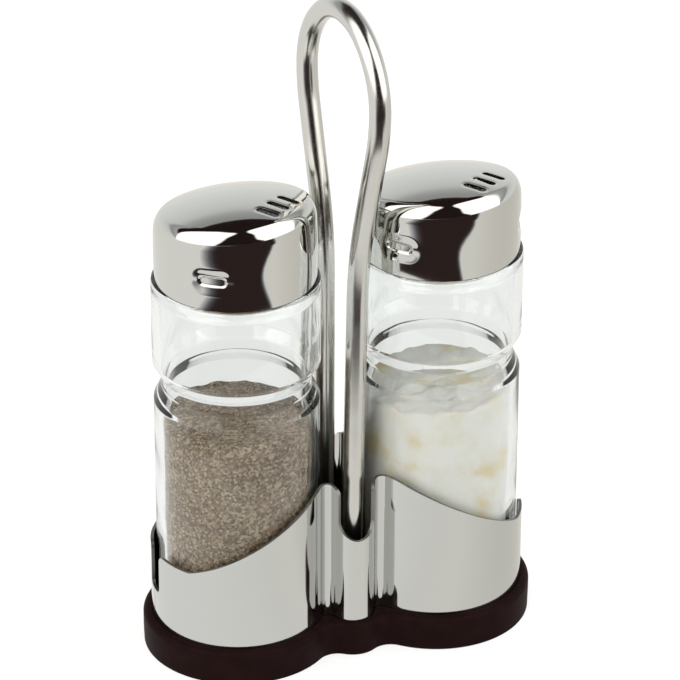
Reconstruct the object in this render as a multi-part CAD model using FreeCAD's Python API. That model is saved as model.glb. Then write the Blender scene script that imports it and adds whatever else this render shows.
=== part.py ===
import FreeCAD, Part
import math
import os

from FreeCAD import Vector

# Salt and pepper set: two glass shakers with steel caps in a wire-handled stand.
# Millimetres, +Z up. The origin is under the middle of the stand, on the surface
# it stands on. The shakers stand side by side along X and -Y is the front.

# Driving dimensions of the layout
jar_spacing = 51.4

# Driving dimensions of the glass shakers, with heights above their feet
jar_radius = 20.1
collar_radius = 20.35
glass_wall = 2.2
glass_floor = 4.0
heel_round = 2.5
groove_rise = 65.6
groove_flat = 3.0
groove_flank = 3.6
groove_depth = 1.8
groove_round = 1.2
shoulder_rise = 92.5
shoulder_round = 0.8
neck_radius = 17.9
neck_wall = 2.4
neck_length = 11.4
neck_lip_round = 0.8

# Driving dimensions of the steel caps, with heights above the shoulder that they seat on
cap_radius = 19.6
cap_sheet = 0.5
pepper_cap_rise = 21.3
salt_cap_rise = 19.9
pepper_cap_slope = 8.6
salt_cap_slope = 9.8
pepper_cap_high_side = -70.0
salt_cap_high_side = -78.0
cap_dome_radius = 60.0
cap_edge_round = 3.8
pour_slot_length = 6.0
pour_slot_width = 2.0
pour_slot_pitch = 4.5
pour_slot_angle = -50.0
pour_slot_reach = 12.0
pour_slot_offset = 0.0
pour_slot_count = 3
lug_count = 3
pepper_lug_angle = -125.0
salt_lug_angle = -140.0
lug_rise = 7.7
lug_length = 6.4
lug_width = 3.2

# Driving dimensions of what the shakers hold, as depths over the glass floor
pepper_depth = 52.4
salt_depth = 53.4
contents_tilt = 2.0

# Driving dimensions of the wire handle
wire_diameter = 5.2
leg_offset = 10.6
leg_socket_depth = 1.5
leg_upright = 9.6
leg_foot_bend_radius = 150.0
loop_turn = 10.0
loop_lean = 0.47
loop_half_width = 18.0
loop_widest_height = 145.2
loop_rise = 19.5
loop_shoulder_radius = 20.3
loop_side_radius = 40.0
flare_start_height = 103.8
flare_slope = 0.261
leg_bend_radius = 80.0
stud_diameter = 4.0
stud_beyond_nut = 0.4
washer_radius = 4.5
washer_thickness = 0.8
nut_across_flats = 7.0
nut_height = 3.0

# Driving dimensions of the steel panels
panel_thickness = 0.8
panel_valley_round = 1.8
panel_groove_depth = 1.1
bulge_lead = 1.4
rim_inner_x = 9.5
rim_inner_height = 46.0
rim_inner_round = 6.0
rim_outer_x = 42.5
rim_outer_height = 28.4
notch_width = 9.2
notch_bottom = 31.6
notch_corner = 2.4
end_slot_width = 6.4
end_slot_bottom = 17.4
end_slot_round = 1.5
end_corner_round = 2.0
tab_width = 6.0
tab_lip = 3.0
tab_positions = (14.0, 27.0)

# Driving dimensions of the base moulding
base_rim_width = 2.15
base_bulge_rim = 1.6
base_valley_round = 5.0
base_bottom = 0.2
base_rim_round = 1.6
base_foot_draft = 0.1
base_draft_height = 4.0
base_wall = 2.0
well_floor = 7.6
well_depth = 1.4
deck_thickness = 3.0
rib_radius = 14.0
rib_thickness = 1.5
underside_step = 0.7
foot_radius = 4.5
foot_recess = 0.5
foot_boss_wall = 1.0
foot_angle = 45.0
foot_ring_radius = 16.5

# Named clearances
shaker_gap = 0.7
leg_gap = 1.9
groove_gap = 0.1
socket_gap = 0.1
thread_gap = 0.05
seam_gap = 0.2
lug_gap = 0.05
contents_gap = 0.1

# Values worked out from the driving dimensions
half_spacing = jar_spacing / 2.0
wire_radius = wire_diameter / 2.0
stud_radius = stud_diameter / 2.0
panel_radius = jar_radius + shaker_gap + panel_thickness
panel_bulge_radius = wire_radius + leg_gap + panel_thickness
bulge_centre = leg_offset + bulge_lead
base_radius = panel_radius + base_rim_width
base_bulge_radius = panel_bulge_radius + base_bulge_rim
base_top = well_floor + well_depth
deck_underside = well_floor - deck_thickness
rib_bottom = base_bottom + underside_step
foot_top = rib_bottom + foot_recess
groove_bottom = well_floor - panel_groove_depth
socket_bottom = well_floor - leg_socket_depth
nut_bottom = deck_underside - washer_thickness - nut_height
stud_end_height = nut_bottom - stud_beyond_nut
groove_height = well_floor + groove_rise
shoulder_height = well_floor + shoulder_rise
neck_top = shoulder_height + neck_length
contents_floor = well_floor + glass_floor
beyond = 2.0 * (half_spacing + base_radius)
up = Vector(0, 0, 1)


# Small helpers
def cylinder(radius, bottom, top, x=0.0, y=0.0):
    return Part.makeCylinder(radius, top - bottom, Vector(x, y, bottom), up)


def block(low, high):
    size = [b - a for a, b in zip(low, high)]
    return Part.makeBox(size[0], size[1], size[2], Vector(*low))


def polar(radius, degrees):
    angle = math.radians(degrees)
    return Vector(radius * math.cos(angle), radius * math.sin(angle), 0)


def fused(shapes):
    whole = shapes[0]
    for shape in shapes[1:]:
        whole = whole.fuse(shape)
    return whole.removeSplitter()


def front_to_back(shape):
    return shape.mirror(Vector(0, 0, 0), Vector(0, 1, 0))


def rounded_edges(points, radii, closed):
    """Straight runs joined by tangent arcs; radii gives each corner's arc, or 0 for a sharp one."""
    count = len(points)
    starts = []
    ends = []
    arcs = []
    for i, (corner, radius) in enumerate(zip(points, radii)):
        inside = closed or 0 < i < count - 1
        if radius == 0 or not inside:
            starts.append(corner)
            ends.append(corner)
            arcs.append(None)
            continue
        back = (points[i - 1] - corner).normalize()
        ahead = (points[(i + 1) % count] - corner).normalize()
        half_angle = back.getAngle(ahead) / 2.0
        reach = radius / math.tan(half_angle)
        middle_way = (back + ahead).normalize()
        middle = corner + middle_way * (radius / math.sin(half_angle) - radius)
        starts.append(corner + back * reach)
        ends.append(corner + ahead * reach)
        arcs.append(Part.Arc(starts[-1], middle, ends[-1]).toShape())
    edges = []
    for i in range(count):
        if arcs[i]:
            edges.append(arcs[i])
        follower = (i + 1) % count
        if follower == 0 and not closed:
            break
        if (starts[follower] - ends[i]).Length > 1e-6:
            edges.append(Part.LineSegment(ends[i], starts[follower]).toShape())
    return edges


def rounded_face(points, radii):
    return Part.Face(Part.Wire(rounded_edges(points, radii, True)))


def turned(profile, radii):
    """Solid of revolution about Z from (radius, height) corners."""
    points = [Vector(r, 0, z) for r, z in profile]
    return rounded_face(points, radii).revolve(Vector(0, 0, 0), up, 360)


def stadium(length, width, height):
    """Slot shape along X, centred on the origin, rising from it."""
    x = length / 2.0
    y = width / 2.0
    corners = [Vector(-x, -y, 0), Vector(x, -y, 0), Vector(x, y, 0), Vector(-x, y, 0)]
    face = rounded_face(corners, [y * 0.999] * 4)
    return face.extrude(up * height)


# Plan outline of the stand
def stand_face(radius, bulge_radius, valley_round, height):
    """Figure of eight round both shakers, with a small bulge for each leg of the handle."""
    to_bulge = math.hypot(half_spacing, bulge_centre)
    far = radius + valley_round
    near = bulge_radius + valley_round
    opening = math.acos((far ** 2 + to_bulge ** 2 - near ** 2) / (2 * far * to_bulge))
    leave = math.atan2(bulge_centre, half_spacing) + opening
    jar_axis = Vector(half_spacing, 0, 0)
    bulge_axis = Vector(0, -bulge_centre, 0)
    to_valley = Vector(-math.cos(leave), -math.sin(leave), 0)
    valley_axis = jar_axis + to_valley * far
    to_bulge_axis = (bulge_axis - valley_axis).normalize()
    inward = (to_bulge_axis - to_valley).normalize()
    corners = {
        "jar": jar_axis + to_valley * radius,
        "dip": valley_axis + inward * valley_round,
        "bulge": valley_axis + to_bulge_axis * valley_round,
    }

    def at(name, side, face):
        corner = corners[name]
        return Vector(corner.x * side, corner.y * face, height)

    edges = []
    for side in (1, -1):
        tip = Vector(side * (half_spacing + radius), 0, height)
        edges.append(Part.Arc(at("jar", side, 1), tip, at("jar", side, -1)).toShape())
    for face in (1, -1):
        nose = Vector(0, -face * (bulge_centre + bulge_radius), height)
        edges.append(Part.Arc(at("bulge", 1, face), nose, at("bulge", -1, face)).toShape())
        for side in (1, -1):
            ends = [at(name, side, face) for name in ("jar", "dip", "bulge")]
            edges.append(Part.Arc(*ends).toShape())
    return Part.Face(Part.Wire(Part.__sortEdges__(edges)))


def base_face(inset, height):
    return stand_face(base_radius - inset, base_bulge_radius - inset, base_valley_round + inset, height)


def panel_prism(offset, bottom, top):
    """The panels' outer outline moved outwards by offset, as a prism."""
    face = stand_face(panel_radius + offset, panel_bulge_radius + offset, panel_valley_round - offset, bottom)
    return face.extrude(up * (top - bottom))


def panel_ring(clearance, bottom, top):
    outer = panel_prism(clearance, bottom, top)
    return outer.cut(panel_prism(-panel_thickness - clearance, bottom, top))


def tab_windows(clearance, bottom, top):
    """Boxes at the front that keep the tabs out of a ring."""
    half = tab_width / 2.0 + clearance
    boxes = []
    for side in (1, -1):
        for place in tab_positions:
            x = side * place
            boxes.append(block((x - half, -beyond, bottom), (x + half, 0, top)))
    return boxes


# Base moulding
def foot_places():
    places = []
    for side in (1, -1):
        for face in (1, -1):
            outward = polar(foot_ring_radius, foot_angle)
            places.append(Vector(side * (half_spacing + outward.x), face * outward.y, 0))
    return places


def make_base():
    lower_wire = base_face(base_foot_draft, base_bottom).OuterWire
    upper_wire = base_face(0, base_bottom + base_draft_height).OuterWire
    skirt = Part.makeLoft([lower_wire, upper_wire], True, True)
    upper = base_face(0, base_bottom + base_draft_height)
    upper = upper.extrude(up * (base_top - base_bottom - base_draft_height))
    rim = [edge for edge in upper.Edges if edge.BoundBox.ZMin > base_top - 0.01]
    body = skirt.fuse(upper.makeFillet(base_rim_round, rim))
    cavity = base_face(base_wall, base_bottom).extrude(up * (deck_underside - base_bottom))
    body = body.cut(cavity)
    additions = []
    for side in (1, -1):
        x = side * half_spacing
        ring = cylinder(rib_radius + rib_thickness / 2.0, rib_bottom, deck_underside, x)
        additions.append(ring.cut(cylinder(rib_radius - rib_thickness / 2.0, rib_bottom, deck_underside, x)))
    for place in foot_places():
        boss_radius = foot_radius + foot_boss_wall
        additions.append(cylinder(boss_radius, rib_bottom, deck_underside, place.x, place.y))
    body = fused([body] + additions)
    for place in foot_places():
        body = body.cut(cylinder(foot_radius + socket_gap, 0, foot_top, place.x, place.y))
    body = body.cut(panel_prism(groove_gap, well_floor, base_top))
    body = body.cut(panel_ring(groove_gap, groove_bottom, well_floor))
    slots = panel_ring(groove_gap, deck_underside, groove_bottom)
    for window in tab_windows(groove_gap, deck_underside, groove_bottom):
        slot = slots.common(window)
        body = body.cut(slot).cut(front_to_back(slot))
    for face in (1, -1):
        y = -face * leg_offset
        body = body.cut(cylinder(wire_radius + socket_gap, socket_bottom, well_floor, 0, y))
        body = body.cut(cylinder(stud_radius + socket_gap, deck_underside, socket_bottom, 0, y))
    return body.removeSplitter()


def make_feet():
    return Part.makeCompound([cylinder(foot_radius, 0, foot_top, p.x, p.y) for p in foot_places()])


# Steel panels
def rim_prism():
    """Everything under the panels' rims, which slant between two levels, and round the notch."""
    half = notch_width / 2.0
    corners = []
    radii = []
    for side in (-1, 1):
        run = [
            (beyond, groove_bottom, 0),
            (beyond, rim_outer_height, 0),
            (rim_outer_x, rim_outer_height, 0),
            (rim_inner_x, rim_inner_height, rim_inner_round),
            (half, rim_inner_height, notch_corner),
            (half, notch_bottom, half * 0.999),
        ]
        if side == 1:
            run.reverse()
        corners += [Vector(side * x, -beyond, z) for x, z, _ in run]
        radii += [radius for _, _, radius in run]
    return rounded_face(corners, radii).extrude(Vector(0, 2 * beyond, 0))


def end_slot(side):
    """Open slot between the panels at one end of the stand, cut along X."""
    half = end_slot_width / 2.0
    x = side * half_spacing
    flare = half + end_corner_round
    run = [
        (-flare, beyond, 0),
        (-flare, rim_outer_height, 0),
        (-half, rim_outer_height, end_corner_round),
        (-half, end_slot_bottom, end_slot_round),
    ]
    mirrored = [(-y, z, radius) for y, z, radius in reversed(run)]
    corners = [Vector(x, y, z) for y, z, _ in run + mirrored]
    radii = [radius for _, _, radius in run + mirrored]
    return rounded_face(corners, radii).extrude(Vector(side * beyond, 0, 0))


def make_front_panel():
    tall = rim_inner_height + rim_inner_x
    ring = panel_ring(0, groove_bottom, tall).common(rim_prism())
    for side in (1, -1):
        ring = ring.cut(end_slot(side))
    wall = ring.common(block((-beyond, -beyond, 0), (beyond, -seam_gap / 2.0, tall)))
    lip_top = deck_underside
    lip_bottom = deck_underside - panel_thickness
    shank = panel_ring(0, lip_bottom, groove_bottom)
    lip = panel_prism(-panel_thickness, lip_bottom, lip_top)
    lip = lip.cut(panel_prism(-panel_thickness - tab_lip, lip_bottom, lip_top))
    pieces = [wall]
    for window in tab_windows(0, lip_bottom, groove_bottom):
        pieces.append(shank.common(window))
        pieces.append(lip.common(window))
    return fused(pieces)


# Wire handle
def loop_edges():
    """Centre line of the whole handle, from the front leg's foot over the loop to the back leg's."""
    turn = math.radians(loop_turn)
    lean = math.radians(loop_lean)
    across = Vector(math.sin(turn), -math.cos(turn), 0)
    foot_bend = well_floor + leg_upright
    widest = loop_widest_height
    tangent = math.atan(flare_slope)
    flare_top_width = loop_half_width - loop_side_radius * (1 - math.cos(tangent))
    flare_top_height = widest - loop_side_radius * math.sin(tangent)
    flare_foot_width = flare_top_width - flare_slope * (flare_top_height - flare_start_height)
    side_way = loop_shoulder_radius - loop_half_width
    rise_way = loop_shoulder_radius - loop_rise
    crown_lift = (side_way ** 2 - rise_way ** 2) / (2 * rise_way)
    crown_radius = loop_rise - crown_lift
    join = math.atan2(crown_lift, side_way)

    def in_loop(width, height):
        """Point of the turned loop, leaned over from the bend at the legs' feet."""
        point = across * width
        rise = height - foot_bend
        x = point.x * math.cos(lean) + rise * math.sin(lean)
        return Vector(x, point.y, foot_bend + rise * math.cos(lean) - point.x * math.sin(lean))

    def half(side):
        def on_side(angle):
            width = loop_half_width - loop_side_radius * (1 - math.cos(angle))
            return in_loop(side * width, widest - loop_side_radius * math.sin(angle))

        def on_shoulder(angle):
            width = loop_shoulder_radius * math.cos(angle) - side_way
            return in_loop(side * width, widest + loop_shoulder_radius * math.sin(angle))

        leg = [
            Vector(0, -side * leg_offset, socket_bottom),
            Vector(0, -side * leg_offset, foot_bend),
            in_loop(side * flare_foot_width, flare_start_height),
            in_loop(side * flare_top_width, flare_top_height),
        ]
        edges = rounded_edges(leg, [0, leg_foot_bend_radius, leg_bend_radius, 0], False)
        edges.append(Part.Arc(on_side(tangent), on_side(tangent / 2), on_side(0)).toShape())
        edges.append(Part.Arc(on_shoulder(0), on_shoulder(join / 2), on_shoulder(join)).toShape())
        return edges, on_shoulder(join)

    front, front_end = half(1)
    back, back_end = half(-1)
    crown = Part.Arc(front_end, in_loop(0, widest + loop_rise), back_end).toShape()
    print("handle crown radius %.2f, overall height %.1f"
          % (crown_radius, widest + loop_rise + wire_radius))
    return front + [crown] + back[::-1]


def make_handle():
    path = Part.Wire(loop_edges())
    section = Part.Wire(Part.makeCircle(wire_radius, Vector(0, -leg_offset, socket_bottom), up))
    wire = path.makePipeShell([section], True, False)
    expected = math.pi * wire_radius ** 2 * path.Length
    print("handle wire length %.1f, volume against section times length %.4f"
          % (path.Length, wire.Volume / expected))
    studs = [cylinder(stud_radius, stud_end_height, socket_bottom, 0, side * leg_offset) for side in (1, -1)]
    return fused([wire] + studs)


def make_washers():
    rings = []
    for side in (1, -1):
        y = side * leg_offset
        ring = cylinder(washer_radius, deck_underside - washer_thickness, deck_underside, 0, y)
        rings.append(ring.cut(cylinder(stud_radius + thread_gap, 0, deck_underside, 0, y)))
    return Part.makeCompound(rings)


def make_nuts():
    corner_radius = nut_across_flats / math.sqrt(3)
    nuts = []
    for side in (1, -1):
        centre = Vector(0, side * leg_offset, nut_bottom)
        corners = [centre + polar(corner_radius, 60 * i) for i in range(6)]
        prism = Part.Face(Part.makePolygon(corners + corners[:1])).extrude(up * nut_height)
        cone = Part.makeCone(corner_radius + nut_height / 2.0, corner_radius - nut_height / 4.0,
                             nut_height * 1.5, centre, -up)
        cone.translate(up * nut_height)
        bore = cylinder(stud_radius + thread_gap, 0, deck_underside, 0, centre.y)
        nuts.append(prism.common(cone).cut(bore))
    return Part.makeCompound(nuts)


# Glass shakers
def jar_outer_profile():
    low = groove_height - groove_flat / 2.0
    high = groove_height + groove_flat / 2.0
    return [
        (0, well_floor, 0),
        (jar_radius, well_floor, heel_round),
        (jar_radius, low - groove_flank, groove_round),
        (jar_radius - groove_depth, low, groove_round),
        (jar_radius - groove_depth, high, groove_round),
        (collar_radius, high + groove_flank, groove_round),
        (collar_radius, shoulder_height, shoulder_round),
        (neck_radius, shoulder_height, 0),
        (neck_radius, neck_top, neck_lip_round),
    ]


def jar_inner_profile(gap):
    """Inside of the glass, drawn in by gap; it closes over the middle at the neck's top."""
    low = groove_height - groove_flat / 2.0
    high = groove_height + groove_flat / 2.0
    wall = glass_wall + gap
    bore = neck_radius - neck_wall - gap
    throat = shoulder_height + shoulder_round
    return [
        (0, contents_floor + gap, 0),
        (jar_radius - wall, contents_floor + gap, heel_round),
        (jar_radius - wall, low - groove_flank, groove_round),
        (jar_radius - groove_depth - wall, low, groove_round),
        (jar_radius - groove_depth - wall, high, groove_round),
        (collar_radius - wall, high + groove_flank, groove_round),
        (collar_radius - wall, throat - 2 * glass_wall, groove_round),
        (bore, throat, groove_round),
        (bore, neck_top, 0),
    ]


def make_jar():
    outer = jar_outer_profile() + [(0, neck_top, 0)]
    inner = jar_inner_profile(0) + [(0, neck_top, 0)]
    glass = turned([p[:2] for p in outer], [p[2] for p in outer])
    hollow = turned([p[:2] for p in inner], [p[2] for p in inner])
    return glass.cut(hollow)


def make_contents(depth, lean_angle):
    """What a shaker holds up to a slightly leaning surface."""
    inner = jar_inner_profile(contents_gap) + [(0, neck_top, 0)]
    filling = turned([p[:2] for p in inner], [p[2] for p in inner])
    above = block((-beyond, -beyond, 0), (beyond, beyond, beyond))
    above.rotate(Vector(0, 0, 0), polar(1, lean_angle), contents_tilt)
    above.translate(up * (contents_floor + depth))
    return filling.cut(above)


# Steel caps
def cap_blank(rise, slope, high_side, inset):
    """Solid inside the cap's skin: a cylinder under a leaning dome with a rounded edge."""
    radius = cap_radius - inset
    lean = math.radians(slope)
    normal = up * math.cos(lean) - polar(1, high_side) * math.sin(lean)
    apex = up * (shoulder_height + rise) - normal * inset
    ball = Part.makeSphere(cap_dome_radius - inset, apex - normal * (cap_dome_radius - inset))
    blank = cylinder(radius, shoulder_height, shoulder_height + 2 * rise).common(ball)
    edges = [e for e in blank.Edges if e.BoundBox.ZMin > shoulder_height + 1 and e.Length > radius * math.pi]
    return blank.makeFillet(cap_edge_round - inset, edges)


def lug_shape(inset, inner_face, outer_face):
    """Level slot shape pressed into the skirt along X, between two distances from the axis."""
    plug = stadium(lug_length - 2 * inset, lug_width - 2 * inset, outer_face - inner_face)
    plug.rotate(Vector(0, 0, 0), up, 90)
    plug.rotate(Vector(0, 0, 0), Vector(0, 1, 0), 90)
    plug.translate(Vector(inner_face, 0, shoulder_height + lug_rise))
    return plug


def make_cap(rise, slope, high_side, first_lug_angle):
    cap = cap_blank(rise, slope, high_side, 0).cut(cap_blank(rise, slope, high_side, cap_sheet))
    tip = neck_radius + lug_gap
    bump = lug_shape(0, tip, cap_radius - cap_sheet / 2.0)
    dent = lug_shape(cap_sheet, tip + cap_sheet, cap_radius + cap_sheet)
    for i in range(lug_count):
        angle = first_lug_angle + i * 360.0 / lug_count
        cap = cap.fuse(bump.rotated(Vector(0, 0, 0), up, angle))
        cap = cap.cut(dent.rotated(Vector(0, 0, 0), up, angle))
    slot = stadium(pour_slot_length, pour_slot_width, 2 * rise)
    for i in range(pour_slot_count):
        across = pour_slot_offset + (i - (pour_slot_count - 1) / 2.0) * pour_slot_pitch
        opening = slot.translated(Vector(pour_slot_reach, across, neck_top))
        cap = cap.cut(opening.rotated(Vector(0, 0, 0), up, pour_slot_angle))
    return cap.removeSplitter()


# Assembly
def build():
    front = make_front_panel()
    jar = make_jar()
    left = Vector(-half_spacing, 0, 0)
    right = Vector(half_spacing, 0, 0)
    return {
        "base_moulding": make_base(),
        "non_slip_feet": make_feet(),
        "front_panel": front,
        "rear_panel": front_to_back(front),
        "wire_handle": make_handle(),
        "handle_washers": make_washers(),
        "handle_nuts": make_nuts(),
        "pepper_jar": jar.translated(left),
        "pepper_cap": make_cap(pepper_cap_rise, pepper_cap_slope, pepper_cap_high_side, pepper_lug_angle).translated(left),
        "ground_pepper": make_contents(pepper_depth, 200.0).translated(left),
        "salt_jar": jar.translated(right),
        "salt_cap": make_cap(salt_cap_rise, salt_cap_slope, salt_cap_high_side, salt_lug_angle).translated(right),
        "table_salt": make_contents(salt_depth, 20.0).translated(right),
    }


def main():
    os.makedirs("parts", exist_ok=True)
    for name, shape in build().items():
        box = shape.BoundBox
        print("%-15s solids %d valid %s volume %.1f z %.2f to %.2f"
              % (name, len(shape.Solids), shape.isValid(), shape.Volume, box.ZMin, box.ZMax))
        shape.exportStep(os.path.join("parts", name + ".step"))


main()
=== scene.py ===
# %% [markdown]
# # A salt and pepper set
# Two glass shakers with polished steel caps stand in a carrier: a dark plastic base, two bent
# steel panels and one loop of steel wire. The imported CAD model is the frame, in metres. Most
# of what shows is mirror-bright or clear, so the lesson is about clean curved meshes and
# about what the studio gives them to reflect.

# %% Load the frame
import math

import bmesh
import bpy
from mathutils import Matrix, Vector, noise


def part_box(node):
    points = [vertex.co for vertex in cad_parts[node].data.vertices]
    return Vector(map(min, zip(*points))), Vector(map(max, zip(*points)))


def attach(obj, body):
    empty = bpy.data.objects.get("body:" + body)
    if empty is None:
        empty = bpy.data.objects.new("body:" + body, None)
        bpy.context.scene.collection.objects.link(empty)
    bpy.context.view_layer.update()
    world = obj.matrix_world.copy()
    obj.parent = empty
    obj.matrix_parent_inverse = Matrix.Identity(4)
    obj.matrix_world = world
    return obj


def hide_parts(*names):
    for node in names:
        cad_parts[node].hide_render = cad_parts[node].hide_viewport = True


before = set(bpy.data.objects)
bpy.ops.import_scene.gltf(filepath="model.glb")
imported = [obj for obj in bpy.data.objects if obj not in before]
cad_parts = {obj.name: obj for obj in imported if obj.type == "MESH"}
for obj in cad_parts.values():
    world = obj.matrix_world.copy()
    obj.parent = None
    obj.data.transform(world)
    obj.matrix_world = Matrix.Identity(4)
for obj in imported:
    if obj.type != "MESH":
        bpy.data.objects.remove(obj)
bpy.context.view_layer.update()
MM = 0.001

# %% [markdown]
# ## Sizes read from the frame
# Every piece is placed from the boxes of the CAD nodes: a shaker's axis is the middle of its
# box, its foot is the box's floor, and the cap starts where the cap's own box starts.

# %% Read the main sizes
shakers = {"pepper": "ground_pepper", "salt": "table_salt"}
jar_box = {kind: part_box(kind + "_jar") for kind in shakers}
cap_box = {kind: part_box(kind + "_cap") for kind in shakers}
axis_x = {kind: (box[0].x + box[1].x) / 2 for kind, box in jar_box.items()}
foot_z = jar_box["salt"][0].z
neck_top_z = jar_box["salt"][1].z
collar_radius = (jar_box["salt"][1].x - jar_box["salt"][0].x) / 2
shoulder_z = cap_box["salt"][0].z
cap_radius = (cap_box["salt"][1].x - cap_box["salt"][0].x) / 2
half_spacing = axis_x["salt"]
panel_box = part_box("front_panel")
panel_radius = panel_box[1].x - half_spacing
handle_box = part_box("wire_handle")
print("shaker axes at x", {kind: round(x / MM, 2) for kind, x in axis_x.items()})
print("collar radius %.2f mm, cap radius %.2f mm" % (collar_radius / MM, cap_radius / MM))

# %% [markdown]
# ## The camera
# The photograph was taken from the front left and from above, with a long lens. The place,
# the angles and the focal length come from a fit to the set's own outlines.

# %% Place the camera
camera_place = Vector((-0.27131, -0.81421, 0.53336))
camera_turn = math.radians(18.46)
camera_tilt = math.radians(27.92)
camera_roll = math.radians(0.21)
picture_side = 680
focal_pixels = 4013.2

camera_data = bpy.data.cameras.new("photo_camera")
camera_data.sensor_width = 36.0
camera_data.lens = camera_data.sensor_width * focal_pixels / picture_side
camera_data.clip_start = 0.01
camera_data.clip_end = 50.0
camera = bpy.data.objects.new("photo_camera", camera_data)
bpy.context.scene.collection.objects.link(camera)
look = Vector((math.sin(camera_turn), math.cos(camera_turn), 0)) * math.cos(camera_tilt)
look.z = -math.sin(camera_tilt)
camera.matrix_world = (
    Matrix.Translation(camera_place)
    @ look.to_track_quat("-Z", "Y").to_matrix().to_4x4()
    @ Matrix.Rotation(camera_roll, 4, "Z")
)
bpy.context.scene.camera = camera
print("lens %.1f mm, %.0f mm from the origin" % (camera_data.lens, camera_place.length / MM))

# %% [markdown]
# ## Helpers for meshes
# A mesh here is rows of points joined by quads, as a lathe or a sweep gives them. Even quads
# keep the smooth normals true, which mirror metal and glass show at once.

# %% Make mesh helpers
pole_radius = 0.0001 * MM


def link_mesh(name, mesh):
    piece = bpy.data.objects.new(name, mesh)
    bpy.context.scene.collection.objects.link(piece)
    mesh.shade_smooth()
    return piece


def face_outwards(mesh):
    work = bmesh.new()
    work.from_mesh(mesh)
    bmesh.ops.recalc_face_normals(work, faces=work.faces[:])
    work.to_mesh(mesh)
    work.free()


def mesh_from_rows(name, rows):
    """Joins equal rings of points by quads; a row of one point is a pole."""
    points = []
    starts = []
    for row in rows:
        starts.append(len(points))
        points.extend(row)
    faces = []
    for low, high in zip(range(len(rows)), range(1, len(rows))):
        count = max(len(rows[low]), len(rows[high]))
        for i in range(count):
            j = (i + 1) % count
            corners = []
            for row, index in ((low, i), (low, j), (high, j), (high, i)):
                corner = starts[row] + (0 if len(rows[row]) == 1 else index)
                if corner not in corners:
                    corners.append(corner)
            faces.append(corners)
    mesh = bpy.data.meshes.new(name)
    mesh.from_pydata(points, [], faces)
    mesh.validate()
    face_outwards(mesh)
    return link_mesh(name, mesh)


# %% Round a profile and turn it
def rounded_profile(corners, step=math.radians(12)):
    """Points of a path of (across, up, round) corners with each corner rounded by an arc."""
    path = []
    for i, (across, up, radius) in enumerate(corners):
        corner = Vector((across, up))
        if radius == 0 or i in (0, len(corners) - 1):
            path.append(corner)
            continue
        back = (Vector(corners[i - 1][:2]) - corner).normalized()
        ahead = (Vector(corners[i + 1][:2]) - corner).normalized()
        half = back.angle(ahead) / 2
        centre = corner + (back + ahead).normalized() * radius / math.sin(half)
        first = corner + back * radius / math.tan(half) - centre
        last = corner + ahead * radius / math.tan(half) - centre
        sweep = first.angle_signed(last)
        count = max(2, math.ceil(abs(sweep) / step))
        for k in range(count + 1):
            path.append(centre + Matrix.Rotation(-sweep * k / count, 2) @ first)
    return path


def lathe(name, profile, x, segments=160):
    """Turns a closed (radius, height) profile about a shaker's axis."""
    turn = [2 * math.pi * i / segments for i in range(segments)]
    rows = []
    for radius, height in profile:
        if radius < pole_radius:
            rows.append([(x, 0, height)])
        else:
            rows.append([(x + radius * math.cos(a), radius * math.sin(a), height) for a in turn])
    return mesh_from_rows(name, rows)


def smoothstep(low, high, value):
    """Rises smoothly from 0 to 1 between two values."""
    t = min(1.0, max(0.0, (value - low) / (high - low)))
    return t * t * (3 - 2 * t)


# %% [markdown]
# ## Helpers for materials
# Colours are written as the sRGB hex values a designer would pick, and one function turns
# them to the linear values that the shader needs. One more function adds a node, with its
# settings and its links.

# %% Make material helpers
def linear(hex_colour):
    """An sRGB colour such as #c6c9c7 as linear red, green, blue and alpha."""
    parts = [int(hex_colour[i:i + 2], 16) / 255 for i in (1, 3, 5)]
    return [p / 12.92 if p <= 0.04045 else ((p + 0.055) / 1.055) ** 2.4 for p in parts] + [1.0]


def add_node(tree, kind, settings=None, **inputs):
    """Adds a node; an input is a value, a node or an output socket, and i3 is input number 3."""
    node = tree.nodes.new(kind)
    for key, value in (settings or {}).items():
        setattr(node, key, value)
    for key, value in inputs.items():
        socket = node.inputs[int(key[1:]) if key[1:].isdigit() else key.replace("_", " ")]
        if isinstance(value, bpy.types.Node):
            value = value.outputs[0]
        if isinstance(value, bpy.types.NodeSocket):
            tree.links.new(value, socket)
        else:
            socket.default_value = value
    return node


def new_material(name, **surface):
    """A material with one Principled shader; returns it with its tree and shader."""
    material = bpy.data.materials.new(name)
    material.use_nodes = True
    shader = material.node_tree.nodes["Principled BSDF"]
    for key, value in surface.items():
        shader.inputs[key.replace("_", " ")].default_value = value
    return material, material.node_tree, shader


def set_ramp(ramp_node, stops):
    """Fills a colour ramp from (place, hex colour) pairs."""
    stair = ramp_node.color_ramp.elements
    while len(stair) < len(stops):
        stair.new(0.5)
    for element, (place, colour) in zip(stair, stops):
        element.position = place
        element.color = linear(colour)


def grain(tree, size, detail):
    """Noise in the object's own space whose blobs measure about size, in metres."""
    place = add_node(tree, "ShaderNodeTexCoord").outputs["Object"]
    return add_node(tree, "ShaderNodeTexNoise", None, Vector=place, Scale=1 / size, Detail=detail)


# %% [markdown]
# ## Polished stainless steel
# The caps and panels are pressed from 18/8 stainless sheet and polished on a wheel, and the
# handle is drawn wire with a duller polish. The metal is a little warm and returns about six
# tenths of the light. The wheel leaves a very faint haze, so the roughness is low but not
# zero, and it wanders over a few millimetres. The sheared edges of the panels were never
# polished, so they are darker and rougher. The insides of the caps and the walls of the slots
# are rougher because they were never polished, and their near-black colour is painted shade.

# %% Polished steel sheet and wire
steel_haze_size = 6 * MM
steel_wave_size = 20 * MM


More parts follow.
